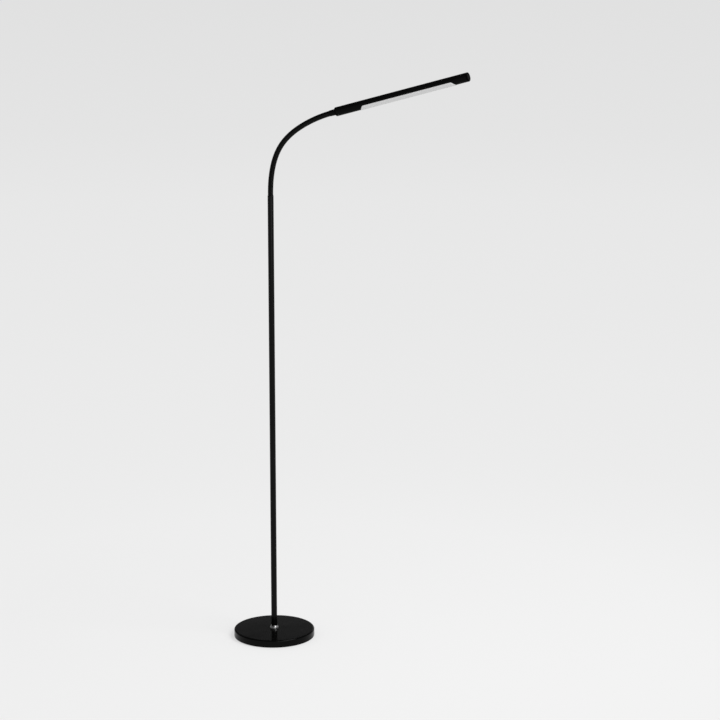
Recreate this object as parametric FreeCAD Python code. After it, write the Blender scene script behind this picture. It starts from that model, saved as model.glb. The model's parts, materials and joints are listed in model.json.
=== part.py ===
import FreeCAD, Part
import math
import os

# Gooseneck reading floor lamp, in millimetres.
# Origin: centre of the base, on the floor. +Z is up and the arm leans towards +X.
# The lamp is symmetric about the XZ plane, apart from small parts on the circuit board.

# ---------------------------------------------------------------- driving dimensions

# base
base_diameter = 220.0
base_height = 21.0            # floor to the flat top
base_edge_radius = 3.5        # rounding between the top and the side
rim_radius = 0.6              # rounding of the cover's lower lip
cover_wall = 1.6
cover_lip = 0.5               # how far the cover hangs below the bottom plate's underside
pad_thickness = 2.0
pad_inset = 8.0               # pad edge to base edge
pad_chamfer = 0.5
plate_thickness = 1.5
plate_gap = 0.4               # all round, between the plate and the cover
weight_gap = 0.6              # all round, between the weight and the cover
weight_web = 5.0              # iron left over the nut pocket
pocket_margin = 5.0           # nut corner to pocket wall

# screws that hold the bottom plate to the weight
plate_screw_count = 5
plate_screw_diameter = 3.0
plate_screw_length = 8.0
plate_screw_head = 5.6
plate_screw_head_depth = 1.2
plate_screw_slot_length = 3.0
plate_screw_slot_width = 0.8
plate_screw_slot_depth = 0.9
plate_screw_inset = 26.0      # screw centre to base edge

# low-voltage inlet in the rear edge of the base
socket_length = 12.0
socket_width = 9.0
socket_height = 11.0
socket_nose_diameter = 8.0
socket_hole_diameter = 5.8
socket_hole_depth = 9.0
socket_pin_diameter = 2.0
socket_pin_setback = 1.5      # pin tip to the mouth
socket_gap = 1.0              # block to the inside of the cover
socket_nose_drop = 0.5        # top of the block to the top of its nose
socket_room = 1.0             # pocket clearance round the block
nose_clearance = 0.2
nose_setback = 0.2            # mouth to the outside of the cover

# threaded tube, washer and nut that clamp the pole to the base
tie_diameter = 10.0
tie_wall = 1.0
tie_end = 0.8                 # tube left showing below the nut
tie_engagement = 26.0         # tube inside the pole's foot bush
tie_clearance = 0.1           # tube to the holes that it passes through
thread_clearance = 0.02
nut_across_flats = 14.0
nut_thickness = 4.0
washer_diameter = 20.0
washer_thickness = 1.0

# bright collar round the pole's foot
collar_diameter = 23.0
collar_height = 7.8
collar_band = 2.6             # upright band under the slope
collar_top_wall = 0.5         # left at the top of the slope
collar_slope_bulge = 0.35     # how far the slope swells outwards
collar_clearance = 0.1

# pole of three screwed tubes
pole_diameter = 16.0
pole_wall = 1.2
pole_section_length = 396.3
pole_seam_chamfer = 0.3
insert_clearance = 0.05       # bushes and couplers inside the tubes
foot_bush_length = 30.0
coupler_length = 50.0
coupler_wall = 2.4
top_bush_length = 28.0
top_bush_flange = 2.0
flange_rounding = 0.8

# gooseneck: a wound steel hose, modelled as short stretches that turn on ball seats
neck_diameter = 14.4
rib_depth = 0.35
ribs_per_link = 8
neck_joints = 16
link_pitch = 19.21            # from one ball centre to the next
root_length = 15.75           # pole flange to the first ball centre
tip_length = 17.0             # last ball centre to the back of the head
ball_overhang = 1.0           # ball radius beyond the hose's own radius
ball_clearance = 0.2
spigot_diameter = 10.0
spigot_length = 16.0
spigot_clearance = 0.05
neck_turn = 74.9              # degrees, from upright to the head's tilt
bend_floor = 0.63             # bending at the ends, against 1 more at the peak
bend_peak_place = 0.419       # share of the neck's length
bend_peak_width = 0.187       # share of the neck's length

# two-core lead
lead_diameter = 3.0
lead_room = 1.5               # hose wall to lead, all round
lead_bend_radius = 6.0
lead_arc_share = 0.45         # of a straight run, that the arc at each end of it takes up

# lighting head: one straight tube with a window on its underside
head_diameter = 23.6
head_wall = 1.2
head_length = 374.6
window_start = 71.0           # back of the head to the window's near tip
window_end_margin = 36.6      # the window's far tip to the end of the head
window_end_length = 11.0      # each rounded end, along the tube
window_half_angle = 78.0      # degrees each side of straight down
cap_clearance = 0.1
rear_rim = 5.0
rear_rounding = 3.6
rear_spigot = 12.0
end_rim = 4.5
end_rounding = 2.6
end_spigot = 14.0
ferrule_cone = 16.0
ferrule_tip_wall = 0.5        # ferrule radius beyond the hose where they meet
ferrule_back_diameter = 16.4
ferrule_shank_wall = 2.0
ferrule_nut_across_flats = 17.0
ferrule_nut_thickness = 3.5
ferrule_thread_end = 1.0      # shank left showing beyond the nut

# light engine
sink_clearance = 0.15
sink_wall = 1.6
sink_floor = 2.0
board_width = 12.0
board_thickness = 1.6
board_margin = 8.0            # board beyond the window's tips
led_count = 42
led_length = 3.0
led_width = 2.8
led_height = 0.7
led_margin = 4.0              # first light to the window's tip
board_screw_diameter = 2.0
board_screw_head = 3.8
board_screw_head_height = 1.3
board_screw_slot_length = 2.2
board_screw_slot_width = 0.6
board_screw_slot_depth = 0.8
board_screw_length = 4.0      # under the head
board_screw_margin = 4.0      # screw centre to the board's end
screw_clearance = 0.02

# opal diffuser
diffuser_proud = 0.9          # beyond the tube
diffuser_wall = 1.5
diffuser_flange = 6.0         # beyond the window's tips, behind the tube
diffuser_edge_gap = 0.2       # to the window's edge
diffuser_back_gap = 0.15      # to the inside of the tube
diffuser_top_gap = 0.3        # under the heat sink

# driver in the handle
driver_start = 24.0
driver_length = 34.0
driver_edge_gap = 0.3
coil_diameter = 9.0
coil_height = 5.0
capacitor_diameter = 5.0
capacitor_length = 9.0
chip_length = 5.0
chip_width = 4.0
chip_height = 1.5
part_gap = 4.0                # along the board, between its parts
led_lead_diameter = 1.6

# ---------------------------------------------------------------- derived dimensions

V = FreeCAD.Vector
UP = V(0, 0, 1)
ALONG = V(1, 0, 0)
ACROSS = V(0, 1, 0)
HERE = V(0, 0, 0)

base_r = base_diameter / 2
cover_inner_r = base_r - cover_wall
cover_roof = base_height - cover_wall
inner_edge_radius = base_edge_radius - cover_wall
plate_z = pad_thickness
plate_top = plate_z + plate_thickness
rim_z = plate_z - cover_lip
weight_r = cover_inner_r - weight_gap

tie_r = tie_diameter / 2
tie_bore = tie_r - tie_wall
nut_corner_r = nut_across_flats / math.sqrt(3)
pocket_r = max(nut_corner_r, washer_diameter / 2) + pocket_margin
pocket_roof = cover_roof - weight_web
washer_z = pocket_roof - washer_thickness
nut_z = washer_z - nut_thickness
tie_bottom = nut_z - tie_end

pole_r = pole_diameter / 2
pole_bore = pole_r - pole_wall
insert_r = pole_bore - insert_clearance
pole_names = ["pole_lower", "pole_middle", "pole_upper"]
pole_top = base_height + len(pole_names) * pole_section_length
flange_top = pole_top + top_bush_flange

lead_r = lead_diameter / 2
lead_z = plate_top + lead_r

neck_r = neck_diameter / 2
groove_r = neck_r - rib_depth
neck_bore = lead_r + lead_room
ball_r = neck_r + ball_overhang
cup_r = ball_r + ball_clearance
ball_lip = math.sqrt(ball_r ** 2 - groove_r ** 2)   # ball centre down to the ball's edge
cup_lip = math.sqrt(cup_r ** 2 - groove_r ** 2)     # ball centre down to the cup's edge
rib_pitch = (link_pitch + ball_lip - cup_lip) / ribs_per_link
spigot_r = spigot_diameter / 2

head_r = head_diameter / 2
shell_bore = head_r - head_wall
cap_spigot_r = shell_bore - cap_clearance
window_finish = head_length - window_end_margin
shell_start = rear_rim
shell_finish = head_length - end_rim
socket_bore_r = spigot_r + spigot_clearance
shank_r = socket_bore_r + ferrule_shank_wall
spigot_end = spigot_length - ferrule_cone           # from the back of the head
nut_start = rear_rim + rear_spigot
shank_end = nut_start + ferrule_nut_thickness + ferrule_thread_end
board_start = window_start - board_margin
board_finish = window_finish + board_margin
sink_r = shell_bore - sink_clearance
sink_finish = shell_finish - end_spigot


# ---------------------------------------------------------------- building blocks

def upright(radius, z_low, z_high, x=0.0, y=0.0):
    """A cylinder along Z."""
    return Part.makeCylinder(radius, z_high - z_low, V(x, y, z_low), UP)


def lying(radius, x_low, x_high, y=0.0, z=0.0):
    """A cylinder along X."""
    return Part.makeCylinder(radius, x_high - x_low, V(x_low, y, z), ALONG)


def upright_tube(outer, inner, z_low, z_high):
    return upright(outer, z_low, z_high).cut(upright(inner, z_low, z_high))


def block(x_low, x_high, width, z_low, z_high, y=0.0):
    """A box that is centred on y."""
    corner = V(x_low, y - width / 2, z_low)
    return Part.makeBox(x_high - x_low, width, z_high - z_low, corner)


def line(a, b):
    return Part.LineSegment(a, b).toShape()


def arc(a, middle, b):
    return Part.Arc(a, middle, b).toShape()


def turned(edges):
    """The solid that a closed outline in the XZ plane sweeps round the Z axis."""
    return Part.Face(Part.Wire(edges)).revolve(HERE, UP, 360)


def hexagon(across_flats, thickness, z_low):
    corner_r = across_flats / math.sqrt(3)
    corners = [V(corner_r * math.cos(math.radians(60 * i)),
                 corner_r * math.sin(math.radians(60 * i)), z_low) for i in range(7)]
    return Part.Face(Part.makePolygon(corners)).extrude(V(0, 0, thickness))


def circles_at(shape, axis, place, radius):
    """The circular edges of one radius in the plane at one place along an axis."""
    close = 0.001
    return [e for e in shape.Edges
            if isinstance(e.Curve, Part.Circle)
            and abs(e.Curve.Center.dot(axis) - place) < close
            and abs(e.Curve.Radius - radius) < close]


def cross_slot(length, width, x, y, z_low, z_high):
    """The cross that a screwdriver fits."""
    return block(x - length / 2, x + length / 2, width, z_low, z_high, y).fuse(
        block(x - width / 2, x + width / 2, length, z_low, z_high, y))


def rounded(shape, size, axis, place, radius):
    return shape.makeFillet(size, circles_at(shape, axis, place, radius))


def moved(shape, place, rotation):
    """A copy that is turned about the origin and then carried to a place."""
    copy = shape.copy()
    copy.Placement = FreeCAD.Placement(place, rotation).multiply(shape.Placement)
    return copy


def ring_of(count, radius, first_angle=0.0):
    """Points evenly spaced on a circle."""
    angles = [math.radians(first_angle + 360 * i / count) for i in range(count)]
    return [(radius * math.cos(a), radius * math.sin(a)) for a in angles]


def export(name, shape):
    shape.exportStep(os.path.join("parts", name + ".step"))
    print(name, len(shape.Solids), "solid(s)", round(shape.Volume, 1), "mm3")


# ---------------------------------------------------------------- base

def base_cover():
    cover = upright(base_r, rim_z, base_height)
    cover = rounded(cover, base_edge_radius, UP, base_height, base_r)
    cover = rounded(cover, rim_radius, UP, rim_z, base_r)
    hollow = upright(cover_inner_r, rim_z - cover_wall, cover_roof)
    hollow = rounded(hollow, inner_edge_radius, UP, cover_roof, cover_inner_r)
    cover = cover.cut(hollow)
    cover = cover.cut(upright(tie_r + tie_clearance, cover_roof, base_height))
    nose_r = socket_nose_diameter / 2 + nose_clearance
    return cover.cut(lying(nose_r, -base_r, -cover_inner_r + cover_wall, 0, socket_axis_z()))


def socket_axis_z():
    """Height of the inlet's axis, set from the top of its block."""
    return plate_top + socket_height - socket_nose_drop - socket_nose_diameter / 2


def socket_front():
    return -(cover_inner_r - socket_gap)


def base_weight():
    weight = upright(weight_r, plate_top, cover_roof)
    weight = rounded(weight, inner_edge_radius + weight_gap, UP, cover_roof, weight_r)
    weight = weight.cut(upright(pocket_r, plate_top, pocket_roof))
    weight = weight.cut(upright(tie_r + tie_clearance, pocket_roof, cover_roof))
    socket_back = socket_front() + socket_length
    socket_pocket = block(-base_r, socket_back + socket_room, socket_width + 2 * socket_room,
                          plate_top, plate_top + socket_height + socket_room)
    channel = block(socket_back, 0, lead_diameter + 2 * lead_room,
                    plate_top, lead_z + lead_r + lead_room)
    weight = weight.cut(socket_pocket).cut(channel)
    for x, y in plate_screw_places():
        weight = weight.cut(upright(plate_screw_diameter / 2 + thread_clearance, plate_top,
                                    plate_z + plate_screw_length + thread_clearance, x, y))
    return weight


def plate_screw_places():
    return ring_of(plate_screw_count, base_r - plate_screw_inset)


def plate_screw_head_cone(x, y, extra):
    """A countersunk head, or with extra room its seat in the plate."""
    return Part.makeCone(plate_screw_head / 2 + extra, plate_screw_diameter / 2 + extra,
                         plate_screw_head_depth, V(x, y, plate_z), UP)


def base_plate():
    plate = upright(cover_inner_r - plate_gap, plate_z, plate_top)
    for x, y in plate_screw_places():
        plate = plate.cut(plate_screw_head_cone(x, y, screw_clearance))
        plate = plate.cut(upright(plate_screw_diameter / 2 + screw_clearance,
                                  plate_z, plate_top, x, y))
    return plate


def plate_screws():
    screws = []
    for x, y in plate_screw_places():
        shaft = upright(plate_screw_diameter / 2, plate_z, plate_z + plate_screw_length, x, y)
        slot = cross_slot(plate_screw_slot_length, plate_screw_slot_width, x, y,
                          plate_z, plate_z + plate_screw_slot_depth)
        screws.append(shaft.fuse(plate_screw_head_cone(x, y, 0)).removeSplitter().cut(slot))
    return Part.makeCompound(screws)


def base_pad():
    pad = upright(base_r - pad_inset, 0, pad_thickness)
    return pad.makeChamfer(pad_chamfer, circles_at(pad, UP, 0, base_r - pad_inset))


def power_socket():
    front = socket_front()
    mouth = -(base_r - nose_setback)
    axis_z = socket_axis_z()
    body = block(front, front + socket_length, socket_width,
                 plate_top, plate_top + socket_height)
    nose = lying(socket_nose_diameter / 2, mouth, front + socket_gap, 0, axis_z)
    hole = lying(socket_hole_diameter / 2, mouth, mouth + socket_hole_depth, 0, axis_z)
    pin = lying(socket_pin_diameter / 2, mouth + socket_pin_setback,
                mouth + socket_hole_depth + socket_gap, 0, axis_z)
    return body.fuse(nose).cut(hole).fuse(pin).removeSplitter()


# ---------------------------------------------------------------- clamp at the pole's foot

def tie_tube():
    return upright_tube(tie_r, tie_bore, tie_bottom, base_height + tie_engagement)


def tie_washer():
    return upright_tube(washer_diameter / 2, tie_r + tie_clearance, washer_z, pocket_roof)


def tie_nut():
    hole = upright(tie_r + thread_clearance, nut_z, washer_z)
    return hexagon(nut_across_flats, nut_thickness, nut_z).cut(hole)


def foot_bush():
    return upright_tube(insert_r, tie_r + thread_clearance,
                        base_height, base_height + foot_bush_length)


def collar_ring():
    bore = pole_r + collar_clearance
    low, band = base_height, base_height + collar_band
    top, outer = base_height + collar_height, collar_diameter / 2
    crest = bore + collar_top_wall
    slope = V(crest - outer, 0, top - band)
    outwards = V(slope.z, 0, -slope.x).normalize()
    swell = V((outer + crest) / 2, 0, (band + top) / 2) + outwards * collar_slope_bulge
    return turned([line(V(bore, 0, low), V(outer, 0, low)),
                   line(V(outer, 0, low), V(outer, 0, band)),
                   arc(V(outer, 0, band), swell, V(crest, 0, top)),
                   line(V(crest, 0, top), V(bore, 0, top)),
                   line(V(bore, 0, top), V(bore, 0, low))])


# ---------------------------------------------------------------- pole

def pole_tube(number):
    low = base_height + number * pole_section_length
    high = low + pole_section_length
    tube = upright_tube(pole_r, pole_bore, low, high)
    ends = circles_at(tube, UP, low, pole_r) + circles_at(tube, UP, high, pole_r)
    return tube.makeChamfer(pole_seam_chamfer, ends)


def pole_coupler(number):
    """The threaded nipple inside the seam above tube number 0 or 1."""
    seam = base_height + (number + 1) * pole_section_length
    return upright_tube(insert_r, insert_r - coupler_wall,
                        seam - coupler_length / 2, seam + coupler_length / 2)


def top_bush():
    bush = upright(insert_r, pole_top - top_bush_length, pole_top)
    flange = upright(pole_r, pole_top, flange_top)
    flange = rounded(flange, flange_rounding, UP, flange_top, pole_r)
    bore = upright(spigot_r + spigot_clearance, pole_top - top_bush_length, flange_top)
    return bush.fuse(flange).cut(bore).removeSplitter()


def pole_lead():
    """From the inlet along the base's channel, round one bend and up to the gooseneck."""
    start = V(socket_front() + socket_length, 0, lead_z)
    bend_start = V(-lead_bend_radius, 0, lead_z)
    bend_end = V(0, 0, lead_z + lead_bend_radius)
    slant = lead_bend_radius * math.sqrt(0.5)
    bend_middle = V(slant - lead_bend_radius, 0, lead_z + lead_bend_radius - slant)
    path = Part.Wire([line(start, bend_start), arc(bend_start, bend_middle, bend_end),
                      line(bend_end, V(0, 0, flange_top))])
    section = Part.Wire(Part.makeCircle(lead_r, start, ALONG))
    return path.makePipeShell([section], True, True)


# ---------------------------------------------------------------- gooseneck

def joint_turns():
    """Degrees that the neck turns at each joint: a gentle start, a peak and a gentle end."""
    places = [(k + 0.5) / neck_joints for k in range(neck_joints)]
    shares = [bend_floor + math.exp(-((u - bend_peak_place) / bend_peak_width) ** 2)
              for u in places]
    return [neck_turn * share / sum(shares) for share in shares]


def way_at(lean):
    """The direction of a stretch that leans from upright towards +X."""
    return V(math.sin(math.radians(lean)), 0, math.cos(math.radians(lean)))


def neck_route():
    """Each ball centre, and the lean from upright, in degrees, of the stretch above it."""
    centre, lean, route = V(0, 0, flange_top + root_length), 0.0, []
    for turn in joint_turns():
        lean += turn
        route.append((centre, lean))
        centre = centre + way_at(lean) * link_pitch
    return route


def leaning(shape, centre, lean):
    """A piece built upright on the origin, put on its ball centre at its lean."""
    return moved(shape, centre, FreeCAD.Rotation(ACROSS, lean))


def rib_edges(z_low, z_high, ribs):
    """The hose's outline from bottom to top: one shallow round rib for each turn of wire."""
    step = (z_high - z_low) / ribs
    lows = [z_low + step * i for i in range(ribs)]
    return [arc(V(groove_r, 0, z), V(neck_r, 0, z + step / 2), V(groove_r, 0, z + step))
            for z in lows]


def seat_edge(radius, centre_z, inner_r, outer_r):
    """The lower arc of a ball or cup between two distances from the axis."""
    angles = [math.asin(inner_r / radius), math.asin(outer_r / radius)]
    angles.insert(1, sum(angles) / 2)
    inner, middle, outer = [V(radius * math.sin(a), 0, centre_z - radius * math.cos(a))
                            for a in angles]
    return arc(inner, middle, outer), inner, outer


def ribs_in(length):
    return max(1, round(length / rib_pitch))


def neck_link():
    """One stretch of hose, upright, with its ball centre on the origin."""
    ball, ball_inner, ball_outer = seat_edge(ball_r, 0, neck_bore, groove_r)
    cup, cup_inner, cup_outer = seat_edge(cup_r, link_pitch, neck_bore, groove_r)
    outline = rib_edges(ball_outer.z, cup_outer.z, ribs_per_link)
    return turned([ball] + outline + [cup, line(cup_inner, ball_inner)])


def neck_root():
    """The hose's fixed start: a plain spigot in the pole's bush, then ribs and a cup."""
    cup, cup_inner, cup_outer = seat_edge(cup_r, 0, neck_bore, groove_r)
    seat = -root_length
    low = seat - spigot_length
    outline = rib_edges(seat, cup_outer.z, ribs_in(cup_outer.z - seat))
    return turned([line(cup_inner, V(neck_bore, 0, low)),
                   line(V(neck_bore, 0, low), V(spigot_r, 0, low)),
                   line(V(spigot_r, 0, low), V(spigot_r, 0, seat)),
                   line(V(spigot_r, 0, seat), V(groove_r, 0, seat))] + outline + [cup])


def neck_tip():
    """The hose's fixed end: a ball, ribs and a plain spigot in the head's ferrule."""
    ball, ball_inner, ball_outer = seat_edge(ball_r, 0, neck_bore, groove_r)
    seat = tip_length - ferrule_cone
    high = seat + spigot_length
    outline = rib_edges(ball_outer.z, seat, ribs_in(seat - ball_outer.z))
    return turned([ball] + outline
                  + [line(V(groove_r, 0, seat), V(spigot_r, 0, seat)),
                     line(V(spigot_r, 0, seat), V(spigot_r, 0, high)),
                     line(V(spigot_r, 0, high), V(neck_bore, 0, high)),
                     line(V(neck_bore, 0, high), ball_inner)])


def neck_cable(route):
    """The lead inside the hose: straight runs joined by arcs that are as large as they fit."""
    tip_centre, tip_lean = route[-1]
    corners = [centre for centre, lean in route]
    points = [V(0, 0, flange_top)] + corners + [tip_centre + way_at(tip_lean) * tip_length]
    edges, last = [], points[0]
    for before, corner, after in zip(points, points[1:], points[2:]):
        back, on = before - corner, after - corner
        reach = lead_arc_share * min(back.Length, on.Length)
        start = corner + back.normalize() * reach
        finish = corner + on.normalize() * reach
        half_turn = (math.pi - back.getAngle(on)) / 2
        radius = reach / math.tan(half_turn)
        inwards = (start + finish - corner * 2).normalize()
        middle = corner + inwards * (radius / math.cos(half_turn) - radius)
        edges += [line(last, start), arc(start, middle, finish)]
        last = finish
    edges.append(line(last, points[-1]))
    section = Part.Wire(Part.makeCircle(lead_r, points[0], UP))
    return Part.Wire(edges).makePipeShell([section], True, True)


# ---------------------------------------------------------------- head, built along +X from its back

def into_head(shape, route):
    """A piece built along +X from the back of the head, put at the end of the neck."""
    centre, lean = route[-1]
    way = way_at(lean)
    return moved(shape, centre + way * tip_length, FreeCAD.Rotation(ALONG, way))


def window_end(x, tip_x, half_width):
    """Half an ellipse, from one side of the window round its tip to the other side."""
    centre, tip, side = V(x, 0, 0), V(tip_x, 0, 0), V(x, half_width, 0)
    if abs(tip_x - x) >= half_width:
        return Part.Ellipse(tip, side, centre).toShape(-math.pi / 2, math.pi / 2)
    return Part.Ellipse(side, tip, centre).toShape(0, math.pi)


def window_prism(gap, low):
    """The window's outline, seen from above, drawn in by a gap and extruded up to the axis."""
    half_width = head_r * math.sin(math.radians(window_half_angle)) - gap
    end_length = window_end_length - gap
    near, far = window_start + window_end_length, window_finish - window_end_length
    edges = [window_end(near, near - end_length, half_width),
             line(V(near, half_width, 0), V(far, half_width, 0)),
             window_end(far, far + end_length, half_width),
             line(V(near, -half_width, 0), V(far, -half_width, 0))]
    outline = Part.Wire(Part.__sortEdges__(edges))
    outline.translate(V(0, 0, low))
    return Part.Face(outline).extrude(V(0, 0, -low))


def head_shell():
    shell = lying(head_r, shell_start, shell_finish)
    shell = shell.cut(lying(shell_bore, shell_start, shell_finish))
    return shell.cut(window_prism(0, -head_diameter))


def head_ferrule():
    tip_r = neck_r + ferrule_tip_wall
    cone = Part.makeCone(tip_r, ferrule_back_diameter / 2, ferrule_cone,
                         V(-ferrule_cone, 0, 0), ALONG)
    shank = lying(shank_r, 0, shank_end)
    socket = lying(socket_bore_r, -ferrule_cone, spigot_end)
    lead_hole = lying(neck_bore, spigot_end, shank_end)
    return cone.fuse(shank).cut(socket).cut(lead_hole).removeSplitter()


def rear_cap():
    rim = rounded(lying(head_r, 0, rear_rim), rear_rounding, ALONG, 0, head_r)
    spigot = lying(cap_spigot_r, rear_rim, nut_start)
    bore = lying(shank_r + thread_clearance, 0, nut_start)
    return rim.fuse(spigot).cut(bore).removeSplitter()


def ferrule_nut():
    nut = hexagon(ferrule_nut_across_flats, ferrule_nut_thickness, 0)
    nut = nut.cut(upright(shank_r + thread_clearance, 0, ferrule_nut_thickness))
    return moved(nut, V(nut_start, 0, 0), FreeCAD.Rotation(ACROSS, 90))


def end_cap():
    rim = rounded(lying(head_r, shell_finish, head_length),
                  end_rounding, ALONG, head_length, head_r)
    spigot = lying(cap_spigot_r, sink_finish, shell_finish)
    hollow = lying(cap_spigot_r - head_wall, sink_finish, shell_finish)
    return rim.fuse(spigot.cut(hollow)).removeSplitter()


def half_round(radius, x_low, x_high, z_low):
    """The part of a lying cylinder that is above one height."""
    return lying(radius, x_low, x_high).common(
        block(x_low, x_high, 2 * head_diameter, z_low, head_diameter))


def heat_sink():
    sink = half_round(sink_r, board_start, sink_finish, 0)
    sink = sink.cut(half_round(sink_r - sink_wall, board_start, sink_finish, sink_floor))
    for x in board_screw_places():
        hole_r = board_screw_diameter / 2 + screw_clearance
        sink = sink.cut(upright(hole_r, 0, sink_floor, x))
    return sink


def board_screw_places():
    return [board_start + board_screw_margin, board_finish - board_screw_margin]


def led_board():
    board = block(board_start, board_finish, board_width, -board_thickness, 0)
    for x in board_screw_places():
        hole_r = board_screw_diameter / 2 + screw_clearance
        board = board.cut(upright(hole_r, -board_thickness, 0, x))
    return board


def board_screws():
    screws = []
    for x in board_screw_places():
        shaft = upright(board_screw_diameter / 2, -board_thickness,
                        board_screw_length - board_thickness, x)
        head_low = -board_thickness - board_screw_head_height
        head = upright(board_screw_head / 2, head_low, -board_thickness, x)
        slot = cross_slot(board_screw_slot_length, board_screw_slot_width, x, 0,
                          head_low, head_low + board_screw_slot_depth)
        screws.append(shaft.fuse(head).removeSplitter().cut(slot))
    return Part.makeCompound(screws)


def leds():
    first, last = window_start + led_margin, window_finish - led_margin
    pitch = (last - first) / (led_count - 1)
    face = -board_thickness
    return Part.makeCompound([
        block(first + i * pitch - led_length / 2, first + i * pitch + led_length / 2,
              led_width, face - led_height, face) for i in range(led_count)])


def diffuser():
    start, finish = window_start - diffuser_flange, window_finish + diffuser_flange
    flange_r = shell_bore - diffuser_back_gap
    below = block(start, finish, 2 * head_diameter, -head_diameter, -diffuser_top_gap)
    bulge = lying(head_r + diffuser_proud, start, finish)
    bulge = bulge.common(window_prism(diffuser_edge_gap, -head_diameter))
    opal = lying(flange_r, start, finish).fuse(bulge)
    opal = opal.cut(lying(flange_r - diffuser_wall, start, finish)).common(below)
    return opal.removeSplitter()


# ---------------------------------------------------------------- driver in the handle

def driver_width():
    return 2 * (shell_bore - driver_edge_gap)


def driver_board():
    half = board_thickness / 2
    return block(driver_start, driver_start + driver_length, driver_width(), -half, half)


def driver_parts():
    """A coil, a lying capacitor and two chips, side by side on the board's upper face."""
    face = board_thickness / 2
    coil_x = driver_start + part_gap + coil_diameter / 2
    capacitor_x = coil_x + coil_diameter / 2 + part_gap
    chip_x = capacitor_x + chip_length + part_gap
    coil = upright(coil_diameter / 2, face, face + coil_height, coil_x)
    capacitor = lying(capacitor_diameter / 2, capacitor_x, capacitor_x + capacitor_length,
                      capacitor_diameter / 2, face + capacitor_diameter / 2)
    chips = [block(x, x + chip_length, chip_width, face, face + chip_height, -chip_width)
             for x in (capacitor_x, chip_x)]
    return Part.makeCompound([coil, capacitor] + chips)


def head_lead():
    """From the end of the neck's lead to the driver board's edge."""
    return lying(lead_r, 0, driver_start)


def led_lead():
    """From the driver board to the light board."""
    radius = led_lead_diameter / 2
    return lying(radius, driver_start + driver_length, board_start, 0, -radius)


# ---------------------------------------------------------------- the whole lamp

def build():
    os.makedirs("parts", exist_ok=True)
    standing = [base_cover, base_weight, base_plate, plate_screws, base_pad, power_socket,
                tie_tube, tie_washer, tie_nut, foot_bush, collar_ring, top_bush, pole_lead]
    for make in standing:
        export(make.__name__, make())
    for number, name in enumerate(pole_names):
        export(name, pole_tube(number))
    export("coupler_lower", pole_coupler(0))
    export("coupler_upper", pole_coupler(1))

    route = neck_route()
    first_centre = route[0][0]
    export("neck_root", leaning(neck_root(), first_centre, 0))
    link = neck_link()
    for number, (centre, lean) in enumerate(route[:-1], 1):
        export("neck_link_%02d" % number, leaning(link, centre, lean))
    export("neck_tip", leaning(neck_tip(), *route[-1]))
    cable = neck_cable(route)
    export("neck_cable", cable)

    in_head = [head_ferrule, ferrule_nut, rear_cap, head_shell, heat_sink, led_board, leds,
               board_screws, diffuser, driver_board, driver_parts, head_lead, led_lead, end_cap]
    for make in in_head:
        export(make.__name__, into_head(make(), route))

    for number, (centre, lean) in enumerate(route, 1):
        print("ball centre", number, round(centre.x, 3), round(centre.z, 3),
              "lean above it", round(lean, 3))
    print("cable length", round(cable.Volume / (math.pi * lead_r ** 2), 1))


build()
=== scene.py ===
import json
import math

import bmesh
import bpy
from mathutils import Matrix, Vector

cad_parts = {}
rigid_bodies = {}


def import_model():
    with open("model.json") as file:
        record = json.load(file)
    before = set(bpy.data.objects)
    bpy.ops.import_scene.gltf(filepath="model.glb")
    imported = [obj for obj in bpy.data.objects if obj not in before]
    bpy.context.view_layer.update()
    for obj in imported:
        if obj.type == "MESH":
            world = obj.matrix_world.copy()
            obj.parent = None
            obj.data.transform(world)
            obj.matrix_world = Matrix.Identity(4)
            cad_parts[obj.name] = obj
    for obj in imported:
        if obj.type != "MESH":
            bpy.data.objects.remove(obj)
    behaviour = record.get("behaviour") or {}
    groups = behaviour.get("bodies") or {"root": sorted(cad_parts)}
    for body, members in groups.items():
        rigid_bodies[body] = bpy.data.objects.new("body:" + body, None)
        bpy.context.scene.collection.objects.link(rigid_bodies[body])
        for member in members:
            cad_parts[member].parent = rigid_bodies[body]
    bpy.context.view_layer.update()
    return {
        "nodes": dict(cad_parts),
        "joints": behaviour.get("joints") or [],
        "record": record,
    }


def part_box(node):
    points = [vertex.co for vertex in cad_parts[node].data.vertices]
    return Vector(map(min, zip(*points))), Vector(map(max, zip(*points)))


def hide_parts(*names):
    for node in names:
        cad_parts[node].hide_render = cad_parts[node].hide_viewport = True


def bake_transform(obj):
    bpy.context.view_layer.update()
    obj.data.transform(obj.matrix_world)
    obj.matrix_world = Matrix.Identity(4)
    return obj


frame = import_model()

# Gooseneck reading floor lamp, in metres, in the row frame: the origin is the centre of
# the base on the floor, +Z is up and the arm leans towards +X.

nodes = frame["nodes"]
MM = 0.001


# ---------------------------------------------------------------- camera

CAMERA_AZIMUTH = 22.0         # degrees round from the front
CAMERA_PITCH = 11.253         # degrees down
CAMERA_DISTANCE = 5.2448      # from the pole, level
CAMERA_ASIDE = 0.2353
CAMERA_HEIGHT = 1.8139


def add_camera():
    """Faces the lamp from a little to its right and above."""
    azimuth, pitch = math.radians(CAMERA_AZIMUTH), math.radians(CAMERA_PITCH)
    right = Vector((math.cos(azimuth), math.sin(azimuth), 0))
    back = Vector((math.sin(azimuth), -math.cos(azimuth), 0))
    data = bpy.data.cameras.new("camera")
    data.sensor_width = 36.0
    data.lens = 100.0
    data.clip_start, data.clip_end = 0.1, 500.0
    camera = bpy.data.objects.new("camera", data)
    camera.location = (right * CAMERA_ASIDE + back * CAMERA_DISTANCE
                       + Vector((0, 0, CAMERA_HEIGHT)))
    forward = -back * math.cos(pitch) - Vector((0, 0, math.sin(pitch)))
    camera.rotation_euler = forward.to_track_quat("-Z", "Y").to_euler()
    bpy.context.scene.collection.objects.link(camera)
    bpy.context.scene.camera = camera


add_camera()


# ---------------------------------------------------------------- node helpers

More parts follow.
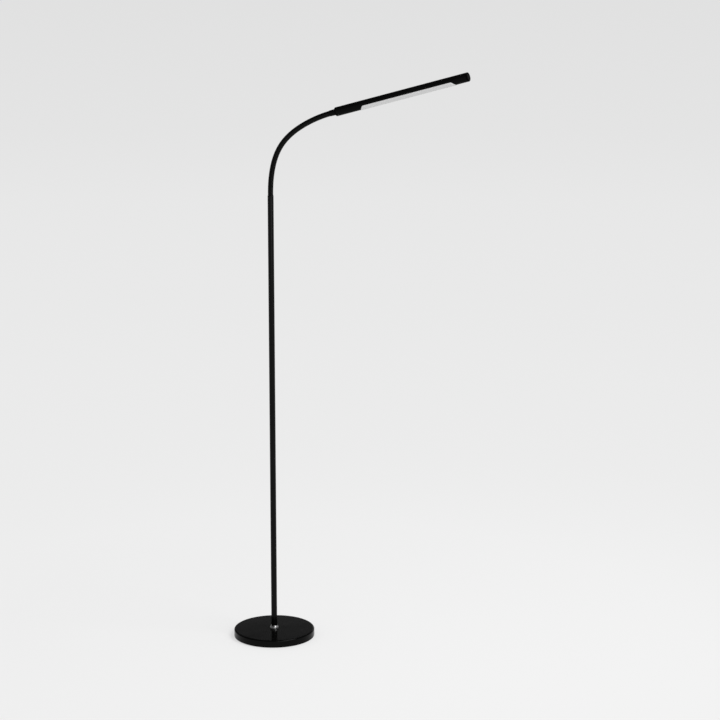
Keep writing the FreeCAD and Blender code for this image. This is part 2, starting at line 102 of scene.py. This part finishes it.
NOISE_LOW, NOISE_HIGH = 0.3, 0.7    # the levels of noise that two limits are reached at
CLOUD = 0.045                       # size of the slow changes in a coat
TARNISH = 0.02                      # and on metal


class Graph:
    """A material's or a world's node tree, with short calls to add to it."""

    def __init__(self, tree):
        self.tree = tree
        tree.nodes.clear()

    def add(self, kind, **values):
        node = self.tree.nodes.new(kind)
        for key, value in values.items():
            if key.startswith("in_"):
                name = key[3:].replace("_", " ")
                socket = node.inputs[int(name)] if name.isdigit() else node.inputs[name]
                self.feed(socket, value)
            else:
                setattr(node, key, value)
        return node

    def feed(self, socket, value):
        """Links a socket to a socket, or sets it to a constant."""
        if isinstance(value, bpy.types.NodeSocket):
            self.tree.links.new(value, socket)
        else:
            socket.default_value = value

    def math(self, operation, a, b):
        return self.add("ShaderNodeMath", operation=operation, in_0=a, in_1=b).outputs[0]

    def ramp(self, factor, stops):
        """A colour ramp; each stop is (position, grey or colour)."""
        node = self.add("ShaderNodeValToRGB", in_Fac=factor)
        elements = node.color_ramp.elements
        while len(elements) < len(stops):
            elements.new(0.5)
        for element, (position, colour) in zip(elements, stops):
            element.position = position
            element.color = rgba(colour)
        return node.outputs["Color"]

    def spread(self, factor, low, high):
        """A value from 0..1 noise, stretched to run between two limits."""
        node = self.add("ShaderNodeMapRange", in_Value=factor)
        node.inputs["From Min"].default_value = NOISE_LOW
        node.inputs["From Max"].default_value = NOISE_HIGH
        node.inputs["To Min"].default_value = low
        node.inputs["To Max"].default_value = high
        return node.outputs["Result"]

    def noise(self, vector, size, detail, roughness):
        """Noise whose lumps are about one size, in metres, across."""
        node = self.add("ShaderNodeTexNoise", in_Vector=vector)
        node.inputs["Scale"].default_value = 1.0 / size
        node.inputs["Detail"].default_value = detail
        node.inputs["Roughness"].default_value = roughness
        return node.outputs["Fac"]


def rgba(colour):
    if isinstance(colour, (int, float)):
        colour = (colour,) * 3
    return (*colour, 1.0)


def new_material(name):
    material = bpy.data.materials.new(name)
    material.use_nodes = True
    return material, Graph(material.node_tree)


def finish_material(graph, **sockets):
    """The surface shader and the output. Sockets are constants or links."""
    shader = graph.add("ShaderNodeBsdfPrincipled")
    for name, value in sockets.items():
        graph.feed(shader.inputs[name.replace("_", " ")], value)
    graph.add("ShaderNodeOutputMaterial", in_Surface=shader.outputs[0])


def coated(name, dark, light, rough, lump, lump_height, specular, soften=0.0):
    """Enamel, lacquer, powder coat or moulding: two close colours, a roughness that wanders
    between two values, and a bump of one lump size and height, in metres. Soften is a distance,
    in metres, over which the surface's slope is evened out."""
    material, graph = new_material(name)
    place = graph.add("ShaderNodeTexCoord").outputs["Object"]
    cloud = graph.noise(place, CLOUD, 4.0, 0.6)
    fine = graph.noise(place, lump, 2.0, 0.5)
    colour = graph.ramp(cloud, [(0.35, dark), (0.65, light)])
    bump = graph.add("ShaderNodeBump", in_Height=fine)
    bump.inputs["Strength"].default_value = 1.0
    bump.inputs["Distance"].default_value = lump_height
    if soften:
        even = graph.add("ShaderNodeBevel", samples=8, in_Radius=soften)
        graph.feed(bump.inputs["Normal"], even.outputs["Normal"])
    finish_material(graph, Base_Color=colour, Roughness=graph.spread(cloud, *rough),
                    Normal=bump.outputs["Normal"], Specular_IOR_Level=specular)
    return material


def metal(name, dark, light, rough, stretch, streak, streak_height):
    """Bare or plated metal, with streaks that are long in one direction."""
    material, graph = new_material(name)
    place = graph.add("ShaderNodeTexCoord").outputs["Object"]
    drawn = graph.add("ShaderNodeMapping", in_Vector=place)
    drawn.inputs["Scale"].default_value = stretch
    streaks = graph.noise(drawn.outputs["Vector"], streak, 3.0, 0.6)
    cloud = graph.noise(place, TARNISH, 3.0, 0.5)
    bump = graph.add("ShaderNodeBump", in_Height=streaks)
    bump.inputs["Strength"].default_value = 1.0
    bump.inputs["Distance"].default_value = streak_height
    colour = graph.ramp(cloud, [(NOISE_LOW, dark), (NOISE_HIGH, light)])
    finish_material(graph, Base_Color=colour, Roughness=graph.spread(streaks, *rough),
                    Metallic=1.0, Normal=bump.outputs["Normal"])
    return material


# ---------------------------------------------------------------- materials

gloss_black = coated("gloss_black", 0.0014, 0.0018, (0.10, 0.13), 0.006, 0.000003, 0.06, 0.002)
pole_black = coated("pole_black", 0.0010, 0.0014, (0.14, 0.18), 0.0006, 0.000004, 0.10)
neck_black = coated("neck_black", 0.0011, 0.0015, (0.22, 0.28), 0.0004, 0.000004, 0.07)
head_black = coated("head_black", 0.0018, 0.0024, (0.28, 0.34), 0.0006, 0.000006, 0.04)
cap_black = coated("cap_black", 0.0009, 0.0013, (0.38, 0.46), 0.0005, 0.000008, 0.015)
socket_black = coated("socket_black", 0.006, 0.009, (0.45, 0.55), 0.0008, 0.00001, 0.3)
part_dark = coated("part_dark", 0.02, 0.035, (0.4, 0.5), 0.0008, 0.00001, 0.4)
lead_black = coated("lead_black", 0.008, 0.012, (0.5, 0.6), 0.0006, 0.00001, 0.3)
lead_red = coated("lead_red", (0.35, 0.02, 0.015), (0.45, 0.03, 0.02), (0.4, 0.5), 0.0006,
                  0.00001, 0.4)
pad_foam = coated("pad_foam", 0.012, 0.022, (0.85, 0.95), 0.0009, 0.00012, 0.2)
cast_iron = coated("cast_iron", 0.05, 0.09, (0.6, 0.75), 0.0015, 0.00012, 0.5)
board_white = coated("board_white", 0.74, 0.80, (0.3, 0.4), 0.002, 0.00001, 0.5)
board_green = coated("board_green", (0.01, 0.12, 0.04), (0.015, 0.16, 0.055), (0.3, 0.4), 0.002,
                     0.00001, 0.5)
led_yellow = coated("led_yellow", (0.70, 0.50, 0.10), (0.78, 0.58, 0.14), (0.3, 0.4), 0.0008,
                    0.00001, 0.5)
opal = coated("opal", 0.57, 0.60, (0.36, 0.44), 0.0012, 0.000006, 0.5)
chrome = metal("chrome", 0.27, 0.31, (0.36, 0.40), (1, 1, 12), 0.004, 0.000001)
zinc_steel = metal("zinc_steel", 0.52, 0.62, (0.25, 0.38), (1, 1, 6), 0.004, 0.00001)
bare_aluminium = metal("bare_aluminium", 0.60, 0.68, (0.30, 0.42), (1, 12, 12), 0.012, 0.00001)

by_slot = {
    "gloss_black": gloss_black, "cast_iron": cast_iron, "zinc_steel": zinc_steel,
    "pad_foam": pad_foam, "socket_black": socket_black, "chrome": chrome,
    "pole_black": pole_black, "neck_black": neck_black, "lead_black": lead_black,
    "lead_red": lead_red, "head_black": head_black, "cap_black": cap_black,
    "bare_aluminium": bare_aluminium, "board_white": board_white, "led_yellow": led_yellow,
    "board_green": board_green, "part_dark": part_dark, "opal": opal,
}
slot_of = {part["node"]: part["material_slot"] for part in frame["record"]["subparts"]}
for name, node in nodes.items():
    node.data.materials.clear()
    node.data.materials.append(by_slot[slot_of[name]])


# ---------------------------------------------------------------- gooseneck

HOSE_R = 7.2 * MM
RIB_DEPTH = 0.35 * MM
RIBS_PER_LINK = 8             # ribs from one hinge to the next
RIB_ROWS = 8                  # rows of faces across one rib
RIB_FULLNESS = 2.4            # power of the rib's section: 2 is a parabola, more is flatter
HOSE_COLUMNS = 48             # columns of faces round the hose
BORE_R = 3.0 * MM
LEAD_R = 1.5 * MM
LEAD_COLUMNS = 16
LEAD_STEP = 3.0 * MM
SWAY_SHARE = 0.34             # of the way to the next hinge that a sideways hinge's piece takes
HEAD_TILT = math.radians(15.1)
HEAD_BACK = 17.0 * MM         # last hinge to the back of the head
FERRULE_FACE = 1.0 * MM       # last hinge to the face of the ferrule
SMALL = 1e-6                  # points of one mesh that are nearer than this are one point
ACROSS = Vector((0, 1, 0))

by_parent = {joint["parent"]: joint for joint in frame["joints"]}
chain, body = [], "stand"
while body in by_parent:
    chain.append(by_parent[body])
    body = by_parent[body]["child"]
centres = [Vector(joint["pos_m"]) for joint in chain]
hose_foot = Vector((0, 0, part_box("top_bush")[1].z))
head_way = Vector((math.cos(HEAD_TILT), 0, math.sin(HEAD_TILT)))


class Route:
    """A smooth line that runs straight out of one end, rounds each control point and runs
    straight into the other end. It is read by the distance along it."""

    STEPS = 24

    def __init__(self, points):
        joins = [(a + b) / 2 for a, b in zip(points, points[1:])]
        joins[0], joins[-1] = points[0], points[-1]
        self.points = [joins[0]]
        for start, corner, end in zip(joins, points[1:], joins[1:]):
            for step in range(1, self.STEPS + 1):
                t = step / self.STEPS
                self.points.append(
                    start * (1 - t) ** 2 + corner * (2 * t * (1 - t)) + end * t ** 2)
        self.lengths = [0.0]
        for a, b in zip(self.points, self.points[1:]):
            self.lengths.append(self.lengths[-1] + (b - a).length)
        runs = [(b - a).normalized() for a, b in zip(self.points, self.points[1:])]
        self.ways = [(a + b).normalized() for a, b in zip([runs[0]] + runs, runs + [runs[-1]])]

    def at(self, distance):
        """The point there, and the way along."""
        low, high = 0, len(self.lengths) - 1
        while high - low > 1:
            middle = (low + high) // 2
            if self.lengths[middle] <= distance:
                low = middle
            else:
                high = middle
        share = (distance - self.lengths[low]) / (self.lengths[high] - self.lengths[low])
        return (self.points[low].lerp(self.points[high], share),
                self.ways[low].lerp(self.ways[high], share).normalized())

    def reach_of(self, point):
        """The distance along at which the line comes nearest to a point."""
        best = min(range(len(self.points)), key=lambda i: (self.points[i] - point).length)
        return self.lengths[best]

    def ring_point(self, distance, radius, angle):
        point, way = self.at(distance)
        return point + (ACROSS * math.cos(angle) + way.cross(ACROSS) * math.sin(angle)) * radius


route = Route([hose_foot] + centres + [centres[-1] + head_way * HEAD_BACK])
hinge_at = [route.reach_of(centre) for centre in centres]
link_pitch = (centres[1] - centres[0]).length
rib_pitch = link_pitch / RIBS_PER_LINK
reach_of_hinge = [link_pitch * (SWAY_SHARE if joint["name"].startswith("neck_sway")
                                else 1 - SWAY_SHARE) for joint in chain]
hose_end = hinge_at[-1] + FERRULE_FACE
cuts = [a + reach for a, reach in zip(hinge_at[:-1], reach_of_hinge)]


def link_object(name, mesh):
    piece = bpy.data.objects.new(name, mesh)
    bpy.context.scene.collection.objects.link(piece)
    return piece


def rib_radius(row):
    """The hose's radius on one row of faces: a round rib between two sharp grooves."""
    across = 2 * (row % RIB_ROWS) / RIB_ROWS - 1
    return HOSE_R - RIB_DEPTH * abs(across) ** RIB_FULLNESS


def hose_mesh(name, first_turn, last_turn):
    """The hose from one turn of its wire to another: ribs that wind round it, and its bore.
    Row q of column j lies q rows plus j/columns of a turn along, so the ribs are a helix.
    Rows that would lie past an end of the hose fall together there."""
    verts, place = [], {}

    def corner(row, column, side):
        if column == HOSE_COLUMNS:
            row, column = row + RIB_ROWS, 0
        key = (row, column, side)
        if key not in place:
            distance = (row / RIB_ROWS + column / HOSE_COLUMNS) * rib_pitch
            distance = min(max(distance, 0), hose_end)
            held_row = (distance / rib_pitch - column / HOSE_COLUMNS) * RIB_ROWS
            radius = BORE_R if side else rib_radius(held_row)
            angle = 2 * math.pi * column / HOSE_COLUMNS
            place[key] = len(verts)
            verts.append(route.ring_point(distance, radius, angle))
        return place[key]

    faces, rims = [], {}
    for row in range(first_turn * RIB_ROWS, last_turn * RIB_ROWS):
        for column in range(HOSE_COLUMNS):
            ring = [(row, column), (row, column + 1), (row + 1, column + 1), (row + 1, column)]
            outer = [corner(r, c, 0) for r, c in ring]
            inner = [corner(r, c, 1) for r, c in ring]
            faces += [outer, inner[::-1]]
            for k in range(4):
                edge = (outer[k], outer[k - 1])
                if edge[::-1] in rims:
                    del rims[edge[::-1]]
                else:
                    rims[edge] = (inner[k - 1], inner[k])
    faces += [[edge[0], edge[1], *back] for edge, back in rims.items()]
    mesh = bpy.data.meshes.new(name)
    mesh.from_pydata(verts, [], faces)
    tidy = bmesh.new()
    tidy.from_mesh(mesh)
    grooves = {index for (row, column, side), index in place.items()
               if side == 0 and row % RIB_ROWS == 0}
    tidy.verts.ensure_lookup_table()
    for edge in tidy.edges:
        if edge.verts[0].index in grooves and edge.verts[1].index in grooves:
            edge.smooth = False
    bmesh.ops.remove_doubles(tidy, verts=tidy.verts, dist=SMALL)
    bmesh.ops.dissolve_degenerate(tidy, edges=tidy.edges, dist=SMALL)
    bmesh.ops.recalc_face_normals(tidy, faces=tidy.faces)
    for face in tidy.faces:
        face.smooth = True
    tidy.to_mesh(mesh)
    tidy.free()
    return mesh


def lead_mesh(name, start, end):
    """A closed length of the lead."""
    count = max(2, math.ceil((end - start) / LEAD_STEP))
    verts, faces = [], []
    for i in range(count + 1):
        distance = start + (end - start) * i / count
        verts += [route.ring_point(distance, LEAD_R, 2 * math.pi * j / LEAD_COLUMNS)
                  for j in range(LEAD_COLUMNS)]
    for i in range(count):
        for j in range(LEAD_COLUMNS):
            a, b = i * LEAD_COLUMNS + j, i * LEAD_COLUMNS + (j + 1) % LEAD_COLUMNS
            faces.append([a, b, b + LEAD_COLUMNS, a + LEAD_COLUMNS])
    faces.append(list(range(LEAD_COLUMNS))[::-1])
    faces.append([count * LEAD_COLUMNS + j for j in range(LEAD_COLUMNS)])
    mesh = bpy.data.meshes.new(name)
    mesh.from_pydata(verts, [], faces)
    mesh.polygons.foreach_set("use_smooth", [len(face) == 4 for face in faces])
    return mesh


def add_gooseneck():
    """One piece of hose and one of lead for each hinge, cut where the next piece starts, so
    the hose is whole at rest. They stand in for the neck's links, which are hidden."""
    before_foot = -1          # the helix starts one turn early, to fill the ring at the foot
    turns = ([before_foot] + [round(cut / rib_pitch - 0.5) for cut in cuts]
             + [math.ceil(hose_end / rib_pitch)])
    ends = [0.0] + cuts + [route.lengths[-1]]
    for i, (joint, hinge, reach) in enumerate(zip(chain, hinge_at, reach_of_hinge)):
        number = "%02d" % (i + 1)
        hose = link_object("hose_" + number, hose_mesh("hose_" + number, turns[i], turns[i + 1]))
        lead = link_object("lead_" + number, lead_mesh("lead_" + number, ends[i], ends[i + 1]))
        for piece, material, slot in ((hose, neck_black, "neck_black"),
                                      (lead, lead_black, "lead_black")):
            piece.data.materials.append(material)
            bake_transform(piece)
        stands_for = ["neck_root"] if i == 0 else ["neck_link_%02d" % i]
        if joint is chain[-1]:
            stands_for.append("neck_tip")
        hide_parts(*stands_for)
        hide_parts("neck_cable")


add_gooseneck()


# ---------------------------------------------------------------- floor, lights and world

FLOOR_RADIUS = 150.0
FLOOR_SIDES = 96
HALF_WAY = 4.0                # distance, in metres, at the middle of the floor's stops
# Stops are (share, level). The floor's share is distance / (distance + HALF_WAY), and the
# world's is the upward part of the way looked along.
MATT_STOPS = [(0.0, 0.28), (0.10, 0.28), (0.36, 0.05), (0.60, 0.015), (1.0, 0.015)]
# The floor's glow: lower near the lamp, where the lamps light it, and dimmer far out as a painted
# fall-off of light.
FLOOR_GLOW_FALLOFF_STOPS = [(0.0, 0.547), (0.10, 0.547), (0.224, 0.672), (0.36, 0.784), (0.49, 0.797),
               (0.61, 0.802), (0.72, 0.792), (0.81, 0.766), (0.87, 0.758), (0.917, 0.7506),
               (0.96, 0.743)]
WORLD_STOPS = [(0.0, 0.753), (0.26, 0.60), (0.312, 0.17), (0.324, 0.085),
               (0.335, 0.04), (1.0, 0.06)]
AMBIENT = 0.66


def add_floor():
    """A pale floor that glows at a level set by distance from the lamp. Far out the glow is
    dimmer, a painted fall-off of light, and near the lamp it is lower, where the lamps light its
    matt part. Its own shading, which fades away from the lamp, adds the shadow."""
    turns = [2 * math.pi * i / FLOOR_SIDES for i in range(FLOOR_SIDES)]
    verts = [Vector((0, 0, 0))] + [
        Vector((FLOOR_RADIUS * math.cos(turn), FLOOR_RADIUS * math.sin(turn), 0))
        for turn in turns]
    faces = [[0, 1 + i, 1 + (i + 1) % FLOOR_SIDES] for i in range(FLOOR_SIDES)]
    mesh = bpy.data.meshes.new("floor")
    mesh.from_pydata(verts, [], faces)
    floor = link_object("floor", mesh)
    material, graph = new_material("floor")
    place = graph.add("ShaderNodeTexCoord").outputs["Object"]
    away = graph.add("ShaderNodeVectorMath", operation="LENGTH", in_0=place).outputs["Value"]
    near = graph.math("DIVIDE", away, graph.math("ADD", away, HALF_WAY))
    # Glow graded by distance from the lamp, with a painted fall-off of light far out.
    glow_with_painted_falloff = graph.ramp(near, FLOOR_GLOW_FALLOFF_STOPS)
    matt = graph.add("ShaderNodeBsdfDiffuse", in_Color=graph.ramp(near, MATT_STOPS))
    emit = graph.add("ShaderNodeEmission", in_Color=glow_with_painted_falloff, in_Strength=1.0)
    total = graph.add("ShaderNodeAddShader", in_0=matt.outputs[0], in_1=emit.outputs[0])
    graph.add("ShaderNodeOutputMaterial", in_Surface=total.outputs[0])
    mesh.materials.append(material)


def add_softbox(name, azimuth, elevation, distance, width, height, power, aim_height):
    """A soft light seen from the lamp at an azimuth, in degrees round from the camera's side
    towards its right, and an elevation."""
    data = bpy.data.lights.new(name, "AREA")
    data.shape = "RECTANGLE"
    data.size, data.size_y = width, height
    data.energy = power
    light = bpy.data.objects.new(name, data)
    around = math.radians(CAMERA_AZIMUTH + azimuth)
    up = math.radians(elevation)
    aim = Vector((0, 0, aim_height))
    way = Vector((math.sin(around) * math.cos(up), -math.cos(around) * math.cos(up), math.sin(up)))
    light.location = aim + way * distance
    light.rotation_euler = (-way).to_track_quat("-Z", "Y").to_euler()
    light.visible_camera = False
    bpy.context.scene.collection.objects.link(light)


def add_world():
    """A pale dome: plain ambient light, and a set level where it is seen or mirrored."""
    world = bpy.data.worlds.new("world")
    bpy.context.scene.world = world
    world.use_nodes = True
    graph = Graph(world.node_tree)
    way = graph.add("ShaderNodeTexCoord").outputs["Generated"]
    height = graph.add("ShaderNodeSeparateXYZ", in_Vector=way).outputs["Z"]
    shown = graph.ramp(height, WORLD_STOPS)
    path = graph.add("ShaderNodeLightPath").outputs
    seen = graph.math("MAXIMUM", path["Is Camera Ray"],
                      graph.math("MAXIMUM", path["Is Glossy Ray"], path["Is Transmission Ray"]))
    picture = graph.add("ShaderNodeBackground", in_Color=shown, in_Strength=1.0)
    ambient = graph.add("ShaderNodeBackground", in_Color=rgba(1.0), in_Strength=AMBIENT)
    both = graph.add("ShaderNodeMixShader", in_0=seen, in_1=ambient.outputs[0],
                     in_2=picture.outputs[0])
    graph.add("ShaderNodeOutputWorld", in_Surface=both.outputs[0])


add_floor()
add_world()
add_softbox("key", azimuth=62.0, elevation=48.0, distance=6.8, width=3.2, height=3.2,
            power=330.0, aim_height=0.8)
add_softbox("front", azimuth=24.0, elevation=8.0, distance=7.2, width=3.6, height=4.8,
            power=150.0, aim_height=1.0)

bpy.context.scene.view_settings.view_transform = "Standard"
